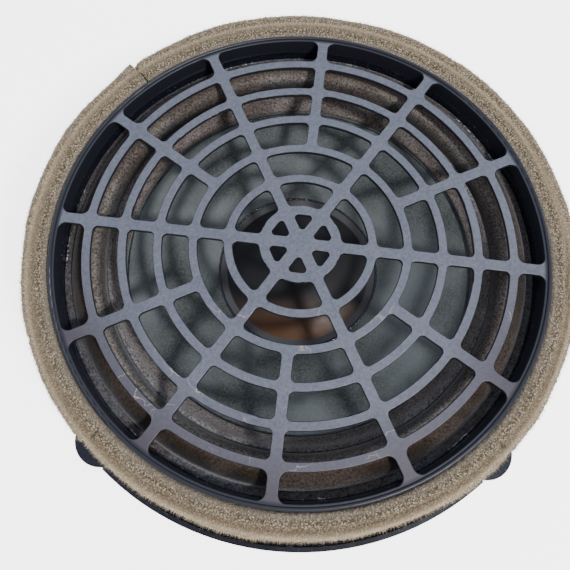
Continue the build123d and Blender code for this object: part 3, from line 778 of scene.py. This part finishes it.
# ---------------------------------------------------------------- surround
def surround_outline():
    """Front line of the surround, from the wall inwards: flange, roll, valley, ridge and lap."""
    centre = (FLANGE_IN + ROLL_IN) / 2
    half = (FLANGE_IN - ROLL_IN) / 2
    rise = 5.3 * MM
    t = np.linspace(0, math.pi, 26)
    roll_z = SURROUND_Z - 0.4 * MM * np.sin(t / 2) + rise * np.sin(t) ** 0.8
    roll = np.stack([centre + half * np.cos(t), roll_z], -1)
    lap_in = radii_of("cone_edge_glue")[1] + 0.3 * MM
    ridge = RIDGE_R
    inner = np.array(
        [
            (ROLL_IN - 0.35 * MM, SURROUND_Z - 1.6 * MM),
            (ridge + 0.55 * MM, SURROUND_Z - 1.2 * MM),
            (ridge, SURROUND_Z - 0.5 * MM),
            (ridge - 0.5 * MM, SURROUND_Z - 0.9 * MM),
            (ridge - 1.3 * MM, SURROUND_Z - 3.4 * MM),
            (ridge - 2.2 * MM, SURROUND_Z - 5.6 * MM),
            (ridge - 3.2 * MM, SURROUND_Z - 7.0 * MM),
            (lap_in + 1.0 * MM, cone_z(lap_in + 1.0 * MM) + 1.0 * MM),
            (lap_in, cone_z(lap_in) + 0.9 * MM),
        ]
    )
    flange_r = np.linspace(WALL_R - 0.1 * MM, FLANGE_IN, 7)[:-1]
    flange = np.stack([flange_r, np.full(len(flange_r), SURROUND_Z)], -1)
    return np.concatenate([flange, roll, inner])


def thicken(line, thickness):
    """Closed outline from a front line and its copy set back along the normals."""
    step = np.gradient(line, axis=0)
    normal = np.stack([step[:, 1], -step[:, 0]], -1)
    normal /= np.linalg.norm(normal, axis=1, keepdims=True)
    back = line - normal * thickness
    return np.concatenate([line, back[::-1]])


def make_surround():
    angles = np.linspace(0, TAU, 720, endpoint=False)
    points = turned_points(thicken(surround_outline(), -0.55 * MM), angles)
    flat = points.reshape(-1, 3)
    grain = bumps(flat, 700, 3) * 0.07 * MM + bumps(flat, 60, 4, 1) * 0.25 * MM
    points[..., 2] += grain.reshape(points.shape[:2])
    piece = grid_mesh("surround_roll", points, surround_material())
    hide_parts("surround")
    blend_radially(piece)


# ---------------------------------------------------------------- glue beads
def bead(name, node, radius, z, width, height, wobble, material, body, seed):
    """An uneven bead of glue lying round a radius."""
    columns = 900
    angles = np.linspace(0, TAU, columns, endpoint=False)
    rng = np.random.default_rng(seed)
    size = np.ones(columns)
    shift = np.zeros(columns)
    for waves in (5, 11, 23, 47, 90, 150):
        size += wobble * rng.uniform(-1, 1) * np.sin(waves * angles + rng.uniform(0, TAU)) * 0.6
        shift += wobble * rng.uniform(-1, 1) * np.sin(waves * angles + rng.uniform(0, TAU)) * 0.35
    size = np.clip(size, 0.25, 1.8)
    t = np.linspace(0, TAU, 12, endpoint=False)[:, None]
    r = radius + width * (shift + 0.5 * np.cos(t) * size)
    up = z + height * np.maximum(np.sin(t), -0.3) * size
    points = np.stack([r * np.cos(angles), r * np.sin(angles), up], -1)
    piece = grid_mesh(name, points, material)
    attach(piece, body)
    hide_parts(node)


def make_glue():
    dark = glue_material()
    pale = glue_residue()
    wall_r, wall_z = WALL_R - 0.5 * MM, SURROUND_Z + 0.1 * MM
    edge_r = sum(radii_of("cone_edge_glue")) / 2
    cap_r = CAP_R + 0.6 * MM
    edge_z, cap_z = cone_z(edge_r), cone_z(cap_r)
    bead("surround_bead", "surround_glue", wall_r, wall_z, 0.6 * MM, 0.5 * MM, 0.5, pale, "frame", 5)
    bead("cone_edge_bead", "cone_edge_glue", edge_r, edge_z, 0.7 * MM, 0.25 * MM, 0.10, dark, "diaphragm", 6)
    bead("dust_cap_bead", "dust_cap_glue", cap_r, cap_z, 1.0 * MM, 0.45 * MM, 0.16, dark, "diaphragm", 7)


# ---------------------------------------------------------------- spider
def make_spider():
    z = bottom("spider_glue") - 0.6 * MM
    land, inner_land, waves = 5.0 * MM, 2.0 * MM, 4
    start, end = SPIDER_OUT - land, SPIDER_IN + inner_land
    r = np.linspace(start, end, 16 * waves + 1)
    wave = 0.9 * MM * np.sin((start - r) / (start - end) * waves * TAU)
    line = np.concatenate(
        [
            [(SPIDER_OUT, z)],
            np.stack([r, z + wave], -1),
            [(SPIDER_IN, z)],
        ]
    )
    points = turned_points(thicken(line, -0.5 * MM), np.linspace(0, TAU, 240, endpoint=False))
    cloth = woven("spider_cloth", (0.16, 0.09, 0.035), (0.55, 0.36, 0.15), 0.8 * MM)
    piece = grid_mesh("spider_cloth", points, cloth)
    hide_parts("spider")
    blend_radially(piece)


# ---------------------------------------------------------------- tinsel leads
LEAD_R = 0.8 * MM


def smooth_path(points, steps):
    """A Catmull-Rom line through the points."""
    points = np.array(points)
    padded = np.concatenate([2 * points[:1] - points[1:2], points, 2 * points[-1:] - points[-2:-1]])
    line = []
    for i in range(len(points) - 1):
        a, b, c, d = padded[i : i + 4]
        for t in np.linspace(0, 1, steps, endpoint=False):
            square = (2 * a - 5 * b + 4 * c - d) * t**2
            cube = (3 * b - a - 3 * c + d) * t**3
            line.append(0.5 * (2 * b + (c - a) * t + square + cube))
    return np.array(line + [points[-1]])


def make_lead(node, side, material):
    """A braided lead from its tab, round the pad, through a window and up to its anchor."""
    low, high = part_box("tinsel_lead_" + node)
    tab_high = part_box("terminal_tab_" + node)[1]
    wide = max(abs(low.x), abs(high.x)) - LEAD_R
    start_y = tab_high.y + LEAD_R
    inner = min(abs(low.x), abs(high.x)) + LEAD_R
    start_z = low.z + LEAD_R
    end_r = low.y + LEAD_R
    neck_z = CONE_NECK_Z
    route = [
        (side * inner, start_y, start_z),
        (side * (wide - 3.5 * MM), start_y + 0.2 * MM, start_z),
        (side * wide, start_y - 6.5 * MM, start_z + 2.0 * MM),
        (side * (wide - 1.6 * MM), start_y - 16 * MM, neck_z + 3.4 * MM),
        (side * (wide - 3.6 * MM), start_y - 29 * MM, neck_z + 2.4 * MM),
        (side * (wide - 7.0 * MM), start_y - 41 * MM, neck_z + 1.0 * MM),
        (side * (inner + 0.6 * MM), end_r, cone_z(end_r) - CONE_THICK - LEAD_R - 0.3 * MM),
    ]
    line = smooth_path(route, 26)
    tangent = np.gradient(line, axis=0)
    tangent /= np.linalg.norm(tangent, axis=1, keepdims=True)
    across = np.cross(tangent, (0, 0, 1))
    across /= np.linalg.norm(across, axis=1, keepdims=True)
    up = np.cross(across, tangent)
    around = np.linspace(0, TAU, 20, endpoint=False)
    run = np.arange(len(line))[:, None]
    strands = np.abs(np.sin(around * 3 + run * 0.9)) * np.abs(np.sin(around * 3 - run * 0.9))
    size = (LEAD_R * (0.8 + 0.22 * strands))[..., None]
    ring = across[:, None] * np.cos(around)[None, :, None] + up[:, None] * np.sin(around)[None, :, None]
    piece = grid_mesh("lead_" + node, line[:, None] + ring * size, material, closed_rows=False)
    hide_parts("tinsel_lead_" + node)
    blend_radially(piece)


def make_leads():
    braid = metal("lead_braid", (0.78, 0.50, 0.34), 0.3, 0.5, 900)
    make_lead("positive", -1, braid)
    make_lead("negative", 1, braid)


# ---------------------------------------------------------------- CAD nodes
def dress_frame():
    basket = plastic("basket_plastic", (0.0035, 0.004, 0.008), (0.007, 0.008, 0.014), 0.20, 0.34)
    dress("basket", basket)
    dress("front_grille", grille_plastic())
    dress("cone", cone_paper())
    dress("dust_cap", cap_material())
    beads = glue_material()
    for node in ("neck_glue", "spider_glue", "lead_anchors"):
        dress(node, beads)
    dress("voice_coil_former", metal("former_foil", (0.75, 0.75, 0.76), 0.25, 0.4))
    dress("voice_coil_winding", wire("winding_wire", (0.72, 0.33, 0.15), 0.4 * MM))
    zinc = metal("zinc_plate", (0.62, 0.64, 0.66), 0.3, 0.5)
    for node in ("front_plate", "yoke"):
        dress(node, zinc)
    dress("motor_screws", metal("screw_steel", (0.6, 0.6, 0.58), 0.25, 0.45))
    dress("magnet", ferrite())
    dress("terminal_board", pressed_board())
    dress("terminal_rivets", metal("rivet_brass", (0.72, 0.55, 0.3), 0.25, 0.45))
    tin = metal("tab_tin", (0.78, 0.75, 0.68), 0.25, 0.45)
    for node in ("terminal_tab_positive", "terminal_tab_negative"):
        dress(node, tin)


make_camera()
make_lights()
make_floor()
dress_frame()
make_foam()
make_surround()
make_glue()
make_spider()
make_leads()
